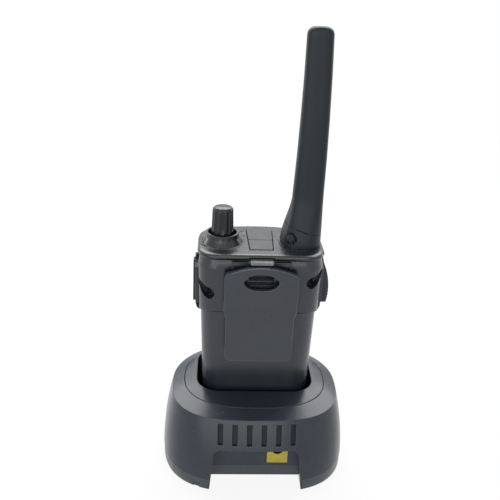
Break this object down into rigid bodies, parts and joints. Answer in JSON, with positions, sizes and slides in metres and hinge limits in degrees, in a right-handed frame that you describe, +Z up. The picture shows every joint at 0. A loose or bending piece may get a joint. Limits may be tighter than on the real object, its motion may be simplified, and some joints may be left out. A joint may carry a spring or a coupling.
{
  "type": "two way radio",
  "caption": "Handheld two way radio with a blade antenna, volume knob, belt clip and push-to-talk button, standing in its drop-in charging cradle.",
  "frame": {"origin": "centre of the cradle's footprint, on the table", "axes": "+Z up along the antenna, +Y to the rear where the belt clip and power inlet are, +X towards the knob's side"},
  "size_m": [0.0962, 0.0917, 0.2212],
  "materials": {
    "cradle_plastic": "grained dark grey plastic",
    "cradle_tray_plastic": "dark grey plastic",
    "foot_rubber": "matt rubber",
    "steel": "plain steel",
    "lamp_clear": "clear red light pipe",
    "board_green": "glass fibre board",
    "socket_black": "black moulded plastic",
    "label_yellow": "plain yellow sticker",
    "contact_brass": "bright",
    "radio_plastic": "satin dark grey plastic",
    "deck_plastic": "grained dark grey plastic",
    "speaker_grey": "grey",
    "cloth_black": "woven cloth",
    "window_clear": "tinted clear plastic",
    "key_rubber": "satin rubber",
    "cell_wrap": "shrink wrap",
    "knob_plastic": "fluted black plastic",
    "shaft_metal": "turned",
    "antenna_rubber": "satin rubber sleeve",
    "clip_plastic": "fine-grained dark plastic"
  },
  "bodies": {
    "cradle": {"cradle_base_tray": "cradle_tray_plastic", "cradle_feet": "foot_rubber", "cradle_screws": "steel", "cradle_upper_shell": "cradle_plastic", "pocket_liner": "cradle_plastic", "charge_lamp": "lamp_clear", "charger_board": "board_green", "power_inlet": "socket_black", "inlet_label": "label_yellow", "contact_block": "socket_black"},
    "charge_pin_left": {"charge_pin_left": "contact_brass"},
    "charge_pin_right": {"charge_pin_right": "contact_brass"},
    "radio": {"front_housing": "radio_plastic", "rear_housing": "radio_plastic", "battery_cover": "radio_plastic", "top_cover": "deck_plastic", "circuit_board": "board_green", "board_screws": "steel", "housing_screws": "steel", "shield_can": "steel", "speaker": "speaker_grey", "speaker_cloth": "cloth_black", "microphone": "socket_black", "display_window": "window_clear", "display_module": "speaker_grey", "keypad": "key_rubber", "battery_tray": "socket_black", "battery_cells": "cell_wrap", "battery_contacts": "contact_brass", "radio_charge_contacts": "contact_brass", "volume_control": "socket_black", "accessory_jacks": "socket_black", "side_panel": "radio_plastic", "side_switches_left": "board_green", "talk_plate": "radio_plastic", "side_switches_right": "board_green", "knob_collar": "deck_plastic", "jack_cover_anchor": "key_rubber", "antenna_boot": "antenna_rubber", "antenna_blade": "antenna_rubber", "antenna_core": "contact_brass", "antenna_screw": "steel", "clip_bracket": "radio_plastic", "clip_pin": "steel", "clip_spring": "steel"},
    "knob": {"knob": "knob_plastic", "control_shaft": "shaft_metal"},
    "talk_button": {"talk_button": "key_rubber"},
    "jack_flap": {"jack_cover_flap": "key_rubber"},
    "belt_clip": {"belt_clip": "clip_plastic"},
    "clip_latch": {"clip_latch": "radio_plastic"},
    "front_key_1": {"front_key_1": "key_rubber"},
    "front_key_2": {"front_key_2": "key_rubber"},
    "front_key_3": {"front_key_3": "key_rubber"},
    "front_key_4": {"front_key_4": "key_rubber"},
    "side_key_1": {"side_key_1": "key_rubber"},
    "side_key_2": {"side_key_2": "key_rubber"}
  },
  "joints": [
    {"name": "radio_lift", "type": "slide", "parent": "cradle", "child": "radio", "axis": [0, 0, 1], "range_m": [0, 0.06]},
    {"name": "charge_pin_left_press", "type": "slide", "parent": "cradle", "child": "charge_pin_left", "axis": [0, 0, -1], "range_m": [0, 0.0008], "stiffness_N_per_m": 300},
    {"name": "charge_pin_right_press", "type": "slide", "parent": "cradle", "child": "charge_pin_right", "axis": [0, 0, -1], "range_m": [0, 0.0008], "stiffness_N_per_m": 300},
    {"name": "knob_turn", "type": "hinge", "parent": "radio", "child": "knob", "pos_m": [0.01925, -0.0029, 0.125], "axis": [0, 0, -1], "range_deg": [0, 300]},
    {"name": "talk_press", "type": "slide", "parent": "radio", "child": "talk_button", "axis": [1, 0, 0], "range_m": [0, 0.001], "stiffness_N_per_m": 1500},
    {"name": "side_key_1_press", "type": "slide", "parent": "radio", "child": "side_key_1", "axis": [-1, 0, 0], "range_m": [0, 0.0006], "stiffness_N_per_m": 1500},
    {"name": "side_key_2_press", "type": "slide", "parent": "radio", "child": "side_key_2", "axis": [-1, 0, 0], "range_m": [0, 0.0006], "stiffness_N_per_m": 1500},
    {"name": "front_key_1_press", "type": "slide", "parent": "radio", "child": "front_key_1", "axis": [0, 1, 0], "range_m": [0, 0.0006], "stiffness_N_per_m": 1500},
    {"name": "front_key_2_press", "type": "slide", "parent": "radio", "child": "front_key_2", "axis": [0, 1, 0], "range_m": [0, 0.0006], "stiffness_N_per_m": 1500},
    {"name": "front_key_3_press", "type": "slide", "parent": "radio", "child": "front_key_3", "axis": [0, 1, 0], "range_m": [0, 0.0006], "stiffness_N_per_m": 1500},
    {"name": "front_key_4_press", "type": "slide", "parent": "radio", "child": "front_key_4", "axis": [0, 1, 0], "range_m": [0, 0.0006], "stiffness_N_per_m": 1500},
    {"name": "jack_flap_lift", "type": "hinge", "parent": "radio", "child": "jack_flap", "pos_m": [0, -0.0049, 0.11725], "axis": [-1, 0, 0], "range_deg": [0, 110], "stiffness_Nm_per_rad": 0.004},
    {"name": "belt_clip_swing", "type": "hinge", "parent": "radio", "child": "belt_clip", "pos_m": [0, 0.016, 0.0984], "axis": [1, 0, 0], "range_deg": [0, 5], "stiffness_Nm_per_rad": 1.2},
    {"name": "clip_latch_press", "type": "slide", "parent": "radio", "child": "clip_latch", "axis": [0, 0, 1], "range_m": [0, 0.0008], "stiffness_N_per_m": 1500}
  ]
}
